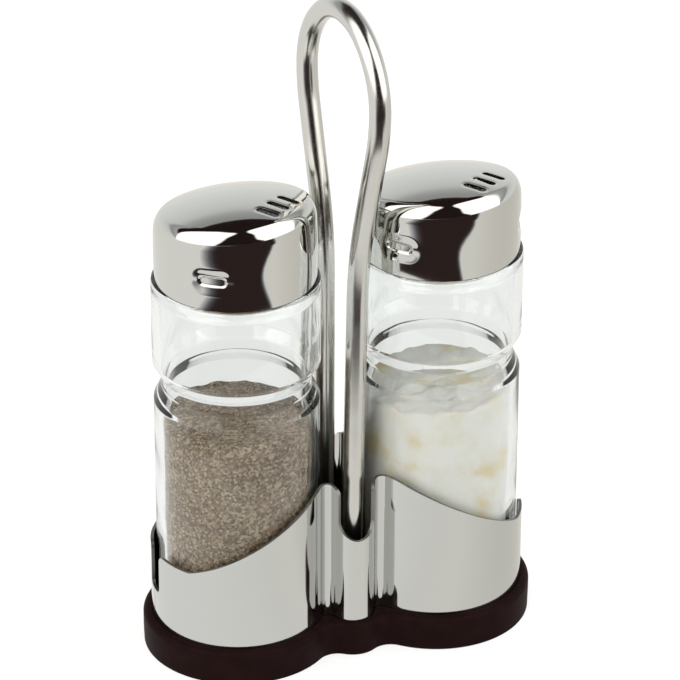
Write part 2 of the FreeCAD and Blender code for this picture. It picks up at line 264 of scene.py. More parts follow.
def polished_steel(name, colour, roughness, wave_height=0.012 * MM):
    """Steel with faint waves, whose roughness wanders about its mean."""
    material, tree, shader = new_material(name, Metallic=1.0, Base_Color=linear(colour))
    haze = grain(tree, steel_haze_size, 3.0)
    span = add_node(
        tree, "ShaderNodeMapRange", None,
        Value=haze.outputs["Fac"], i3=roughness * 0.6, i4=roughness * 1.5,
    )
    tree.links.new(span.outputs["Result"], shader.inputs["Roughness"])
    waves = grain(tree, steel_wave_size, 1.0)
    bump = add_node(
        tree, "ShaderNodeBump", None,
        Height=waves.outputs["Fac"], Distance=wave_height, Strength=1.0,
    )
    tree.links.new(bump.outputs["Normal"], shader.inputs["Normal"])
    return material


sheet_steel = polished_steel("polished_stainless_sheet", "#cfcfcb", 0.045)
panel_steel = polished_steel("polished_stainless_panel", "#cbccca", 0.07)
edge_steel = polished_steel("sheared_stainless_edge", "#8f8e8a", 0.4)
wire_steel = polished_steel("polished_stainless_wire", "#d4d3cf", 0.19, 0.01 * MM)
# Rough because unpolished; its near-black colour is painted shade for the insides of the caps and
# the slot walls.
raw_steel_painted_shade = polished_steel("unpolished_stainless_inside_painted_shade", "#3b3836", 0.4)
print("steel:", [m.name for m in (sheet_steel, panel_steel, edge_steel, wire_steel, raw_steel_painted_shade)])

# %% [markdown]
# ## Soda-lime glass
# The shakers are pressed soda-lime glass: clear, with a faint grey-green tint where the light
# has a long way through the wall. Pressing leaves soft waves in the surface.

# %% Pressed glass
glass_wave_size = 12 * MM
glass_wave_height = 0.12 * MM

glass, glass_tree, glass_shader = new_material(
    "pressed_soda_lime_glass", Base_Color=linear("#f7f9f8"),
    Roughness=0.0, IOR=1.5, Transmission_Weight=1.0,
)
glass_waves = grain(glass_tree, glass_wave_size, 1.0)
glass_bump = add_node(
    glass_tree, "ShaderNodeBump", None,
    Height=glass_waves.outputs["Fac"], Distance=glass_wave_height, Strength=1.0,
)
glass_tree.links.new(glass_bump.outputs["Normal"], glass_shader.inputs["Normal"])
print(glass.name, "has waves about %.0f mm long" % (glass_wave_size / MM))

# %% [markdown]
# ## Moulded base
# The base is injection-moulded polystyrene or ABS, near black with a brown cast, and satin.
# A fine spark-eroded grain breaks up its highlight. The real grain is nearer 0.05 mm; it is
# drawn at 0.4 mm, so that it shows.

# %% Moulded plastic
base_tone_size = 4 * MM
base_grain_size = 0.4 * MM

base_plastic, base_tree, base_shader = new_material(
    "moulded_black_abs", Base_Color=linear("#180b0b"),
    Roughness=0.5, IOR=1.5, Specular_IOR_Level=0.03,
)
base_tone = grain(base_tree, base_tone_size, 4.0)
base_ramp = add_node(base_tree, "ShaderNodeValToRGB", None, Fac=base_tone.outputs["Fac"])
set_ramp(base_ramp, [(0.3, "#150909"), (0.7, "#1b0d0d")])
base_tree.links.new(base_ramp.outputs["Color"], base_shader.inputs["Base Color"])
base_grain = grain(base_tree, base_grain_size, 2.0)
base_bump = add_node(
    base_tree, "ShaderNodeBump", None,
    Height=base_grain.outputs["Fac"], Distance=0.03 * MM, Strength=0.6,
)
base_tree.links.new(base_bump.outputs["Normal"], base_shader.inputs["Normal"])
print(base_plastic.name, "has a grain of %.1f mm" % (base_grain_size / MM))

# %% [markdown]
# ## Rubber pads and zinc-plated fasteners
# The pads under the base are moulded rubber, dark and matt. The washers and nuts are steel
# with a thin zinc plating, whose crystals make its shine uneven. These three pieces and the
# base are plain enough for the CAD meshes to serve as they are.

# %% Moulded rubber and zinc plating
rubber_grain_size = 1 * MM
zinc_grain_size = 0.8 * MM

rubber, rubber_tree, rubber_shader = new_material(
    "moulded_rubber", Base_Color=linear("#2a2a2a"), Roughness=0.85
)
rubber_tone = grain(rubber_tree, rubber_grain_size, 3.0)
rubber_bump = add_node(
    rubber_tree, "ShaderNodeBump", None,
    Height=rubber_tone.outputs["Fac"], Distance=0.04 * MM, Strength=0.5,
)
rubber_tree.links.new(rubber_bump.outputs["Normal"], rubber_shader.inputs["Normal"])

zinc, zinc_tree, zinc_shader = new_material(
    "zinc_plated_steel", Base_Color=linear("#a9abac"), Metallic=1.0, Roughness=0.35
)
zinc_tone = grain(zinc_tree, zinc_grain_size, 3.0)
zinc_span = add_node(
    zinc_tree, "ShaderNodeMapRange", None, Value=zinc_tone.outputs["Fac"], i3=0.25, i4=0.5
)
zinc_tree.links.new(zinc_span.outputs["Result"], zinc_shader.inputs["Roughness"])

for node_name, finish in (
    ("base_moulding", base_plastic),
    ("non_slip_feet", rubber),
    ("handle_washers", zinc),
    ("handle_nuts", zinc),
):
    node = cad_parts[node_name]
    node.data.materials.clear()
    node.data.materials.append(finish)
    node.data.shade_smooth()
    node.data.set_sharp_from_angle(angle=math.radians(35))
    print(node_name, "is", finish.name)

# %% [markdown]
# ## The glass shakers
# A shaker is a lathe job: one closed profile that goes up the outside, over the neck and down
# the inside. A ring groove a third of the way down parts the body from the collar. Modelling
# the wall with its real thickness gives the bright band along each edge for free. The inner
# surface follows the groove less deeply than the outer one, which shows as a pale band.

# %% Measure the glass
glass_wall = 2.2 * MM
glass_floor = 4.0 * MM
body_radius = collar_radius - 0.25 * MM
neck_radius = cap_radius - 1.7 * MM
neck_wall = 2.4 * MM
heel_round = 2.5 * MM
groove_z = foot_z + 65.6 * MM
groove_flat = 3.0 * MM
groove_flank = 3.6 * MM
groove_depth = 1.8 * MM
inner_groove_depth = 1.0 * MM
groove_round = 1.2 * MM
shoulder_round = 0.8 * MM
neck_foot_round = 0.15 * MM
neck_lip_round = 0.8 * MM
neck_bore_round = 0.5 * MM
print("groove at z %.1f mm, neck radius %.1f mm" % (groove_z / MM, neck_radius / MM))


# %% Draw the glass's profile
def groove_corners(radius_below, radius_above, depth):
    """The ring groove's four corners from below, for one surface of the wall."""
    low = groove_z - groove_flat / 2
    high = groove_z + groove_flat / 2
    return [
        (radius_below, low - groove_flank, groove_round),
        (radius_below - depth, low, groove_round),
        (radius_below - depth, high, groove_round),
        (radius_above, high + groove_flank, groove_round),
    ]


def jar_profile():
    """The closed profile of the glass: outside, over the neck and down the inside."""
    outside = [(0, foot_z, 0), (body_radius, foot_z, heel_round)]
    outside += groove_corners(body_radius, collar_radius, groove_depth)
    outside += [
        (collar_radius, shoulder_z, shoulder_round),
        (neck_radius, shoulder_z, neck_foot_round),
        (neck_radius, neck_top_z, neck_lip_round),
        (neck_radius - neck_wall, neck_top_z, neck_bore_round),
    ]
    return outside + inside_corners(0)[::-1]


def inside_corners(gap):
    """The inside of the glass from the middle of its floor up to the neck, drawn in by gap."""
    wall = glass_wall + gap
    bore = neck_radius - neck_wall - gap
    throat = shoulder_z + shoulder_round
    floor_z = foot_z + glass_floor + gap
    corners = [(0, floor_z, 0), (body_radius - wall, floor_z, heel_round)]
    corners += groove_corners(body_radius - wall, collar_radius - wall, inner_groove_depth)
    return corners + [
        (collar_radius - wall, throat - 2 * glass_wall, groove_round),
        (bore, throat, groove_round),
    ]


# %% Turn both glasses
for kind in shakers:
    jar = lathe(kind + "_glass", rounded_profile(jar_profile()), axis_x[kind])
    jar.data.materials.append(glass)
    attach(jar, kind + "_shaker")
    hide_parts(kind + "_jar")
    print(jar.name, len(jar.data.polygons), "faces")

# %% [markdown]
# ## Ground pepper and table salt
# Ground pepper is a mix of pale inner grain and dark husk. Salt is white, with cream patches
# where it has drawn damp and caked. Each fills its glass with a hair of air all round, so
# light still bounces inside the wall, and has a loose, uneven top.

# %% Speckled pepper and caked salt
pepper_grain_size = 0.55 * MM
pepper_drift_size = 12 * MM
salt_grain_size = 0.5 * MM
salt_cake_size = 9 * MM

pepper, pepper_tree, pepper_shader = new_material("ground_black_pepper", Roughness=0.95)
pepper_place = add_node(pepper_tree, "ShaderNodeTexCoord").outputs["Object"]
pepper_cells = add_node(
    pepper_tree, "ShaderNodeTexVoronoi", None, Vector=pepper_place, Scale=1 / pepper_grain_size
)
pepper_pick = add_node(
    pepper_tree, "ShaderNodeSeparateColor", None, Color=pepper_cells.outputs["Color"]
)
pepper_ramp = add_node(pepper_tree, "ShaderNodeValToRGB", None, Fac=pepper_pick.outputs["Red"])
set_ramp(pepper_ramp, [(0.0, "#2c2118"), (0.2, "#66523e"), (0.6, "#95806a"), (1.0, "#d6c6ac")])
pepper_drift = grain(pepper_tree, pepper_drift_size, 3.0)
pepper_drift_ramp = add_node(
    pepper_tree, "ShaderNodeValToRGB", None, Fac=pepper_drift.outputs["Fac"]
)
set_ramp(pepper_drift_ramp, [(0.35, "#7c6548"), (0.65, "#9c8c76")])
pepper_mix = add_node(
    pepper_tree, "ShaderNodeMix", {"data_type": "RGBA"}, i0=0.35,
    i6=pepper_ramp.outputs["Color"], i7=pepper_drift_ramp.outputs["Color"],
)
pepper_tree.links.new(pepper_mix.outputs[2], pepper_shader.inputs["Base Color"])
pepper_bump = add_node(
    pepper_tree, "ShaderNodeBump", None,
    Height=pepper_cells.outputs["Distance"], Distance=0.3 * MM, Strength=0.8,
)
pepper_tree.links.new(pepper_bump.outputs["Normal"], pepper_shader.inputs["Normal"])

salt, salt_tree, salt_shader = new_material(
    "fine_table_salt", Roughness=0.7, Subsurface_Weight=0.15, Subsurface_Scale=2 * MM
)
salt_drift = grain(salt_tree, salt_cake_size, 3.0)
salt_ramp = add_node(salt_tree, "ShaderNodeValToRGB", None, Fac=salt_drift.outputs["Fac"])
set_ramp(salt_ramp, [(0.42, "#fbfaf6"), (0.56, "#f7f3e8"), (0.68, "#eee0b8")])
salt_tree.links.new(salt_ramp.outputs["Color"], salt_shader.inputs["Base Color"])
salt_grains = grain(salt_tree, salt_grain_size, 3.0)
salt_bump = add_node(
    salt_tree, "ShaderNodeBump", None,
    Height=salt_grains.outputs["Fac"], Distance=0.2 * MM, Strength=0.6,
)
salt_tree.links.new(salt_bump.outputs["Normal"], salt_shader.inputs["Normal"])
print(pepper.name, "and", salt.name, "have grains of about half a millimetre")

# %% [markdown]
# ## Filling the shakers
# The filling is turned from the same profile as the inside of the glass. Its top is closed
# with fine rings of quads, so that noise can lift it into crumbs, and it leans a little, as
# it does after the shaker was last put down.

# %% Fill the shakers
contents_gap = 0.1 * MM
fill_corner = ((0, 1.0 * MM), (0.2 * MM, 0.3 * MM))
fill_top_inset = 0.7 * MM
fill_rings = 24
loose_depth = 1.5 * MM
crumbs_per_metre = 260
crumb_height = {"pepper": 0.5 * MM, "salt": 0.9 * MM}
lean_way = {"pepper": math.radians(200), "salt": math.radians(20)}
lean = math.tan(math.radians(2))


def fill_profile(level):
    """The glass's inside up to a level, with the top closed by rows towards the middle."""
    corner_z = level - fill_corner[0][1]
    profile = [p for p in rounded_profile(inside_corners(contents_gap)) if p.y < corner_z]
    radius = inside_radius(level)
    for inset, drop in fill_corner:
        profile.append(Vector((radius - inset, level - drop)))
    for i in range(fill_rings + 1):
        profile.append(Vector(((radius - fill_top_inset) * (1 - i / fill_rings), level)))
    return profile


def inside_radius(height):
    """How far the filling reaches from the shaker's axis at a height."""
    path = rounded_profile(inside_corners(contents_gap))
    for low, high in zip(path, path[1:]):
        if low.y <= height < high.y:
            return low.x + (high.x - low.x) * (height - low.y) / (high.y - low.y)
    return path[-1].x


for kind, node_name in shakers.items():
    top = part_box(node_name)[1].z - loose_depth
    fill = lathe(kind + "_filling", fill_profile(top), axis_x[kind])
    for vertex in fill.data.vertices:
        place = vertex.co
        if place.z > top - loose_depth:
            out = Vector((place.x - axis_x[kind], place.y, 0))
            downhill = Vector((math.cos(lean_way[kind]), math.sin(lean_way[kind]), 0))
            slope = out.dot(downhill) * lean
            crumbs = noise.fractal(place * crumbs_per_metre, 1.0, 2.0, 4) * crumb_height[kind]
            place.z += slope + crumbs
    fill.data.materials.append(pepper if kind == "pepper" else salt)
    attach(fill, kind + "_shaker")
    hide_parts(node_name)
    print(fill.name, len(fill.data.polygons), "faces")

# %% [markdown]
# ## The steel caps
# A cap is a drawn cup of half-millimetre sheet. Its skirt is round and bows by a fifth of a
# millimetre, its top is a very flat dome that leans, and a generous rolled edge joins them,
# higher on one side than the other. Three lugs pressed into the skirt guide it on the neck.
# The skin is built as columns of points round the axis, each solved from the leaning dome, so
# the reflections flow unbroken. A Subdivision Surface over a coarse cage would be quicker, but
# it wouldn't meet the dome's slope exactly, and a mirror shows that.

# %% Measure the caps
cap_sheet = 0.5 * MM
cap_middle_z = {"pepper": shoulder_z + 21.3 * MM, "salt": shoulder_z + 19.9 * MM}
cap_slope = {"pepper": math.radians(8.6), "salt": math.radians(9.8)}
cap_high_side = {"pepper": math.radians(-70), "salt": math.radians(-78)}
cap_dome = 60 * MM
cap_edge_across = 2.9 * MM
cap_edge_down = 4.6 * MM
cap_lip_rise = 0.12 * MM
cap_segments = 440
outer_rows = (110, 20, 100)
inner_rows = (30, 8, 24)
skirt_bow = 0.16 * MM
skirt_widest = 7.5 * MM
lug_angle = {"pepper": math.radians(-123.5), "salt": math.radians(-140)}
lug_count = 3
lug_z = shoulder_z + 7.7 * MM
lug_length = 7.7 * MM
lug_width = 3.1 * MM
lug_depth = 0.3 * MM
lug_dish = 0.34 * MM
lug_pocket_edge = (0.26, 0.48)
lug_dish_edge = (0.35, 1.25)
slot_angle = math.radians(-50)
slot_length = 6.0 * MM
slot_width = 2.0 * MM
slot_pitch = 4.5 * MM
slot_reach = 12.0 * MM
slot_count = 3
slot_dip_depth = 0.09 * MM
slot_dip_edge = (-0.1 * MM, 0.9 * MM)
print("caps slope by", {kind: round(math.degrees(a), 1) for kind, a in cap_slope.items()})


# %% Shape the dips, lugs and skirt
def slot_places():
    """The middles of the pouring slots, along and across their own direction."""
    return [(slot_reach, (i - (slot_count - 1) / 2) * slot_pitch) for i in range(slot_count)]


def slot_dip(x, y):
    """How far the sheet is drawn down at a place near a pouring slot."""
    along = x * math.cos(slot_angle) + y * math.sin(slot_angle)
    across = y * math.cos(slot_angle) - x * math.sin(slot_angle)
    deepest = 0
    for reach, offset in slot_places():
        beyond = max(0, abs(along - reach) - (slot_length - slot_width) / 2)
        away = math.hypot(beyond, across - offset) - slot_width / 2
        deepest = max(deepest, slot_dip_depth * (1 - smoothstep(*slot_dip_edge, away)))
    return deepest


def lug_press(kind, angle, height):
    """How far the skirt is pressed in at a place, by the nearest lug."""
    deepest = 0
    for i in range(lug_count):
        centre = lug_angle[kind] + i * 2 * math.pi / lug_count
        turn = math.atan2(math.sin(angle - centre), math.cos(angle - centre))
        along = max(0, abs(turn * cap_radius) - (lug_length - lug_width) / 2)
        away = math.hypot(along, height - lug_z)
        pocket = 1 - smoothstep(*(lug_width * edge for edge in lug_pocket_edge), away)
        dish = 1 - smoothstep(*(lug_width * edge for edge in lug_dish_edge), away)
        deepest = max(deepest, lug_depth * pocket + lug_dish * dish)
    return deepest


def skirt_taper(height):
    """The skirt is not quite straight: it turns in a hair at its foot and below its edge."""
    return skirt_bow * ((height - shoulder_z - skirt_widest) / skirt_widest) ** 2


# %% Solve one column of the skin
def edge_way(radius, middle, arc, across, down):
    """Where the rolled edge, a quarter of an ellipse, meets the dome without a kink."""
    low, high = 0.05, math.pi / 2
    for _ in range(40):
        way = (low + high) / 2
        beyond = radius - across + across * math.cos(way) - middle
        dome_drop = math.sqrt(arc ** 2 - beyond ** 2)
        if down * math.cos(way) * dome_drop > across * math.sin(way) * beyond:
            low = way
        else:
            high = way
    return way


def cap_column(kind, angle, inset, skirt_rows, edge_rows, top_rows):
    """Points of the cap's skin at one angle, from the skirt's foot to the middle of the top."""
    radius = cap_radius - inset
    across = cap_edge_across - inset
    down = cap_edge_down - inset
    offset = cap_dome * math.sin(cap_slope[kind])
    middle = offset * math.cos(angle - cap_high_side[kind])
    sideways = offset * math.sin(angle - cap_high_side[kind])
    dome_z = cap_middle_z[kind] - cap_dome * math.cos(cap_slope[kind])
    arc = math.sqrt((cap_dome - inset) ** 2 - sideways ** 2)
    top_way = edge_way(radius, middle, arc, across, down)
    rim = radius - across + across * math.cos(top_way)
    edge_z = dome_z + math.sqrt(arc ** 2 - (rim - middle) ** 2) - down * math.sin(top_way)
    column = []
    foot = shoulder_z + cap_lip_rise
    for i in range(skirt_rows):
        height = foot + (edge_z - foot) * i / skirt_rows
        column.append((radius - skirt_taper(height) - lug_press(kind, angle, height), height))
    for i in range(edge_rows + 1):
        way = top_way * i / edge_rows
        height = edge_z + down * math.sin(way)
        taper = skirt_taper(height) * math.cos(way)
        column.append((radius - taper - across + across * math.cos(way), height))
    rim = column[-1][0]
    for i in range(1, top_rows):
        reach = rim * (1 - i / top_rows)
        height = dome_z + math.sqrt(arc ** 2 - (reach - middle) ** 2)
        column.append((reach, height - slot_dip(reach * math.cos(angle), reach * math.sin(angle))))
    return column


# %% Build the skin
def cap_mesh(name, kind):
    """The cap without its slots: the polished outer skin, the lip and the raw inner skin, painted
    near-black as shade.
    """
    x = axis_x[kind]
    turn = [2 * math.pi * i / cap_segments for i in range(cap_segments)]
    outer = [cap_column(kind, a, 0, *outer_rows) for a in turn]
    inner = [cap_column(kind, a, cap_sheet, *inner_rows) for a in turn]
    skins = []
    for columns, inset in ((outer, 0), (inner, cap_sheet)):
        rows = []
        for level in zip(*columns):
            rows.append([
                (x + reach * math.cos(a), reach * math.sin(a), height)
                for a, (reach, height) in zip(turn, level)
            ])
        dome_z = cap_middle_z[kind] - cap_dome * math.cos(cap_slope[kind])
        offset = cap_dome * math.sin(cap_slope[kind])
        rows.append([(x, 0, dome_z + math.sqrt((cap_dome - inset) ** 2 - offset ** 2))])
        skins.append(rows)
    lip_radius = cap_radius - cap_sheet / 2 - skirt_bow
    lip_row = [
        (x + lip_radius * math.cos(a), lip_radius * math.sin(a), shoulder_z) for a in turn
    ]
    cap = mesh_from_rows(name, skins[0][::-1] + [lip_row] + skins[1])
    cap.data.materials.append(sheet_steel)
    # The inner skin takes the steel painted near-black as shade inside the cap.
    cap.data.materials.append(raw_steel_painted_shade)
    for face in cap.data.polygons[len(skins[0]) * cap_segments:]:
        face.material_index = 1
    return cap


# %% [markdown]
# ## Pouring slots
# On the real cap a punch cuts three slots side by side, and draws the sheet round them down a
# little. A Boolean cuts them here. It leaves long thin faces, which would spoil the smooth
# shading, so a Data Transfer modifier brings back the normals of the uncut skin.

# %% Cut the pouring slots
slot_segments = 24
slot_headroom = 5 * MM
normal_reach = 0.02 * MM


def slot_cutter(x):
    """Three upright rounded bars side by side, where the slots go through the top."""
    cutter = bmesh.new()
    spin = Matrix.Rotation(slot_angle, 4, "Z")
    half_width = slot_width / 2
    high_z = cap_box["pepper"][1].z + slot_headroom
    for reach, offset in slot_places():
        ring = []
        for k in range(slot_segments):
            way = 2 * math.pi * (k + 0.5) / slot_segments
            shift = math.copysign((slot_length - slot_width) / 2, math.cos(way))
            along = reach + shift + half_width * math.cos(way)
            ring.append((along, offset + half_width * math.sin(way)))
        low = [cutter.verts.new(spin @ Vector((a, b, neck_top_z))) for a, b in ring]
        high = [cutter.verts.new(spin @ Vector((a, b, high_z))) for a, b in ring]
        cutter.faces.new(low[::-1])
        cutter.faces.new(high)
        for k in range(slot_segments):
            j = (k + 1) % slot_segments
            cutter.faces.new((low[k], low[j], high[j], high[k]))
    # The slot walls take the same steel painted near-black as shade.
    for face in cutter.faces:
        face.material_index = 1
    mesh = bpy.data.meshes.new("slot_cutter")
    cutter.to_mesh(mesh)
    cutter.free()
    mesh.materials.append(sheet_steel)
    mesh.materials.append(raw_steel_painted_shade)
    mesh.transform(Matrix.Translation((x, 0, 0)))
    return link_mesh("slot_cutter", mesh)


def apply_modifiers(piece):
    """Puts the mesh that the modifiers give in place of the piece's own."""
    graph = bpy.context.evaluated_depsgraph_get()
    finished = bpy.data.meshes.new_from_object(piece.evaluated_get(graph))
    piece.modifiers.clear()
    piece.data = finished


# %% Finish both caps
for kind in shakers:
    cap = cap_mesh(kind + "_steel_cap", kind)
    cutter = slot_cutter(axis_x[kind])
    cut = cap.modifiers.new("slots", "BOOLEAN")
    cut.object = cutter
    cut.operation = "DIFFERENCE"
    cut.solver = "EXACT"
    uncut = cap.data.copy()
    model = bpy.data.objects.new("uncut_cap", uncut)
    bpy.context.scene.collection.objects.link(model)
    keep = cap.modifiers.new("normals", "DATA_TRANSFER")
    keep.object = model
    keep.use_loop_data = True
    keep.data_types_loops = {"CUSTOM_NORMAL"}
    keep.loop_mapping = "POLYINTERP_NEAREST"
    keep.use_max_distance = True
    keep.max_distance = normal_reach
    apply_modifiers(cap)
    bpy.data.objects.remove(cutter)
    bpy.data.objects.remove(model)
    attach(cap, kind + "_lid")
    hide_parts(kind + "_cap")
    print(cap.name, len(cap.data.polygons), "faces")

# %% [markdown]
# ## The wire handle
# One length of round wire makes both legs and the loop. Its centre line is straight runs and
# arcs that meet smoothly, first up one leg, then round the loop, which is turned a little
# from square. The back half is the front half turned half way round the set's middle. Each
# end goes on as a threaded stud, which a nut holds under the base.

# %% Measure the wire
wire_radius = 2.6 * MM
leg_offset = 10.6 * MM
socket_z = foot_z - 1.5 * MM
loop_turn = math.radians(10)
loop_lean = math.radians(0.47)
loop_half_width = 18.0 * MM
loop_widest_z = 145.2 * MM
loop_rise = 19.5 * MM
shoulder_bend = 20.3 * MM
side_bend = 40.0 * MM
flare_z = 103.8 * MM
flare_slope = 0.261
leg_bend = 80.0 * MM
foot_bend = 150.0 * MM
upright_z = foot_z + 9.6 * MM
stud_radius = 2.0 * MM
stud_end_z = handle_box[0].z
stud_chamfer = 0.3 * MM
thread_pitch = 0.7 * MM
thread_dips = (0.0, 0.2 * MM, 0.4 * MM, 0.2 * MM)
wire_step = 0.8 * MM
print("wire is %.1f mm thick" % (2 * wire_radius / MM))


# %% Draw the wire's centre line
def arc_points(centre, radius, first, last, count):
    """Points on an arc in the loop's own plane, as (across, up)."""
    angles = [first + (last - first) * i / count for i in range(count + 1)]
    return [(centre[0] + radius * math.cos(a), centre[1] + radius * math.sin(a)) for a in angles]


def fillet_run(points, radii, count=24):
    """Points in space along straight runs whose corners are rounded by arcs."""
    path = [points[0]]
    for i in range(1, len(points) - 1):
        back = (points[i - 1] - points[i]).normalized()
        ahead = (points[i + 1] - points[i]).normalized()
        half = back.angle(ahead) / 2
        centre = points[i] + (back + ahead).normalized() * radii[i] / math.sin(half)
        first = points[i] + back * radii[i] / math.tan(half) - centre
        last = points[i] + ahead * radii[i] / math.tan(half) - centre
        axis = first.cross(last).normalized()
        for k in range(count + 1):
            path.append(centre + Matrix.Rotation(first.angle(last) * k / count, 3, axis) @ first)
    return path + [points[-1]]


def in_loop(width, height):
    """A place in the turned loop, which leans a little from the legs' feet on."""
    across = Vector((math.sin(loop_turn), -math.cos(loop_turn), 0)) * width
    rise = height - upright_z
    x = across.x * math.cos(loop_lean) + rise * math.sin(loop_lean)
    z = upright_z + rise * math.cos(loop_lean) - across.x * math.sin(loop_lean)
    return Vector((x, across.y, z))


def handle_line():
    """The wire's centre line, from the front leg's foot over the loop to the back leg's."""
    tangent = math.atan(flare_slope)
    side_centre = (loop_half_width - side_bend, loop_widest_z)
    flare_top = (
        side_centre[0] + side_bend * math.cos(tangent),
        loop_widest_z - side_bend * math.sin(tangent),
    )
    flare_foot = flare_top[0] - flare_slope * (flare_top[1] - flare_z)
    side_way = shoulder_bend - loop_half_width
    rise_way = shoulder_bend - loop_rise
    crown_lift = (side_way ** 2 - rise_way ** 2) / (2 * rise_way)
    crown = loop_rise - crown_lift
    join = math.atan2(crown_lift, side_way)
    flat = arc_points(side_centre, side_bend, -tangent, 0, 16)
    flat += arc_points((-side_way, loop_widest_z), shoulder_bend, 0, join, 24)[1:]
    flat += arc_points((0, loop_widest_z + crown_lift), crown, join, math.pi / 2, 24)[1:]
    halves = []
    for side in (1, -1):
        leg = [
            Vector((0, -side * leg_offset, socket_z)),
            Vector((0, -side * leg_offset, upright_z)),
            in_loop(side * flare_foot, flare_z),
            in_loop(side * flat[0][0], flat[0][1]),
        ]
        half = fillet_run(leg, [0, foot_bend, leg_bend, 0])
        halves.append(half + [in_loop(side * w, z) for w, z in flat[1:]])
    return halves[0] + halves[1][-2::-1]


# %% Sweep the wire
def resampled(path, step):
    """The same line in even steps."""
    even = [path[0].copy()]
    left = step
    for low, high in zip(path, path[1:]):
        run = (high - low).length
        gone = 0
        while run - gone >= left:
            gone += left
            even.append(low.lerp(high, gone / run))
            left = step
        left -= run - gone
    if (even[-1] - path[-1]).length > step * 0.3:
        even.append(path[-1].copy())
    return even


def sweep_wire(name, line, radii, segments=40):
    """Carries a circle along a line, with its frame turned as little as possible."""
    neighbours = zip([line[0]] + line[:-1], line[1:] + [line[-1]])
    tangents = [(b - a).normalized() for a, b in neighbours]
    side = tangents[0].orthogonal().normalized()
    rows = []
    for place, tangent, radius in zip(line, tangents, radii):
        side = (side - tangent * side.dot(tangent)).normalized()
        other = tangent.cross(side)
        rows.append([
            place + side * radius * math.cos(a) + other * radius * math.sin(a)
            for a in (2 * math.pi * i / segments for i in range(segments))
        ])
    rows = [[line[0]]] + rows + [[line[-1]]]
    return mesh_from_rows(name, rows)


def stud_rows(foot):
    """Places and radii up one threaded stud, from its end to the wire."""
    places = []
    radii = []
    height = stud_end_z
    step = 0
    while height < socket_z - 0.2 * MM:
        places.append(Vector((0, foot.y, height)))
        chamfer = stud_chamfer if step == 0 else 0
        radii.append(stud_radius - thread_dips[step % len(thread_dips)] - chamfer)
        height += thread_pitch / len(thread_dips)
        step += 1
    places.append(Vector((0, foot.y, socket_z - 0.01 * MM)))
    radii.append(stud_radius)
    return places, radii


# %% Make the handle
wire_line = resampled(handle_line(), wire_step)
wire_length = sum((b - a).length for a, b in zip(wire_line, wire_line[1:]))
print("wire without its studs is %.0f mm long" % (wire_length / MM))
front_places, front_radii = stud_rows(wire_line[0])
back_places, back_radii = stud_rows(wire_line[-1])
handle = sweep_wire(
    "wire_loop_handle",
    front_places + wire_line + back_places[::-1],
    front_radii + [wire_radius] * len(wire_line) + back_radii[::-1],
)
handle.data.set_sharp_from_angle(angle=math.radians(50))
handle.data.materials.append(wire_steel)
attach(handle, "stand")
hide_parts("wire_handle")
print(handle.name, len(handle.data.polygons), "faces")

# %% [markdown]
# ## The steel panels
# Each panel is a strip of sheet bent to the stand's outline: round one shaker, in through a
# valley, round a small bulge for the wire, and round the other shaker. Its upper rim slants
# down to the ends, and a round-bottomed notch leaves room for the wire. The flat blank is
# drawn first, then sliced into narrow upright strips and bent, as a press would do it.

# %% Measure the panels
panel_thickness = 0.8 * MM
bulge_radius = 5.3 * MM
bulge_y = 12.0 * MM
valley_round = 1.8 * MM
rim_inner = (9.5 * MM, panel_box[1].z)
rim_inner_round = 6.0 * MM
rim_outer = (42.5 * MM, 28.4 * MM)
notch_half = 4.6 * MM
notch_bottom = 31.6 * MM
notch_corner = 2.4 * MM
slot_half = 3.2 * MM
slot_bottom = 17.4 * MM
slot_round = 1.5 * MM
slot_corner = 2.0 * MM
full_round = 0.999
panel_foot = foot_z - 1.0 * MM
seam_half = 0.1 * MM
tab_places = (14.0 * MM, 27.0 * MM)
tab_width = 6.0 * MM
tab_reach = 3.0 * MM
tab_outer_bend = 1.2 * MM
tab_inner_bend = 0.4 * MM
tab_steps = 12
tab_probe = 0.05 * MM
blank_slices = 520
deck_underside = foot_z - 3.0 * MM
print("panel sheet is %.1f mm thick" % (panel_thickness / MM))


# %% Lay out the stand's outline
def front_outline(step=0.1 * MM):
    """Points of the front half of the outline, from the left end round to the right end."""
    far = panel_radius + valley_round
    near = bulge_radius + valley_round
    to_bulge = math.hypot(half_spacing, bulge_y)
    opening = math.acos((far ** 2 + to_bulge ** 2 - near ** 2) / (2 * far * to_bulge))
    leave = math.atan2(bulge_y, half_spacing) + opening
    valley = Vector((half_spacing - far * math.cos(leave), -far * math.sin(leave)))
    nose = Vector((0, -bulge_y))
    reach = (valley - nose).normalized()
    bulge_half = math.atan2(reach.x, -reach.y)
    right = []
    for centre, radius, first, last in (
        (nose, bulge_radius, -math.pi / 2, -math.pi / 2 + bulge_half),
        (valley, valley_round, math.pi / 2 + bulge_half, leave),
        (Vector((half_spacing, 0)), panel_radius, math.pi + leave, 2 * math.pi),
    ):
        count = max(4, round(abs(last - first) * radius / step))
        for i in range(count + 1):
            way = first + (last - first) * i / count
            right.append(centre + Vector((math.cos(way), math.sin(way))) * radius)
    left = [Vector((-p.x, p.y)) for p in reversed(right)]
    line = []
    for point in left + right:
        if not line or (point - line[-1]).length > 1e-7:
            line.append(point)
    return line


outline = front_outline()
outline_run = [0.0]
for low, high in zip(outline, outline[1:]):
    outline_run.append(outline_run[-1] + (high - low).length)
print("panel blank is %.1f mm long, %.1f mm high" % (
    outline_run[-1] / MM, (rim_inner[1] - panel_foot) / MM
))


def interpolate(value, keys, results):
    """The result at a value between two keys of a rising list."""
    low, high = 0, len(keys) - 1
    while high - low > 1:
        middle = (low + high) // 2
        if keys[middle] <= value:
            low = middle
        else:
            high = middle
    share = (value - keys[low]) / (keys[high] - keys[low])
    return results[low] + (results[high] - results[low]) * share


outline_x = [p.x for p in outline]


def run_at_x(x):
    """How far along the blank a place across the stand is."""
    return interpolate(x, outline_x, outline_run)


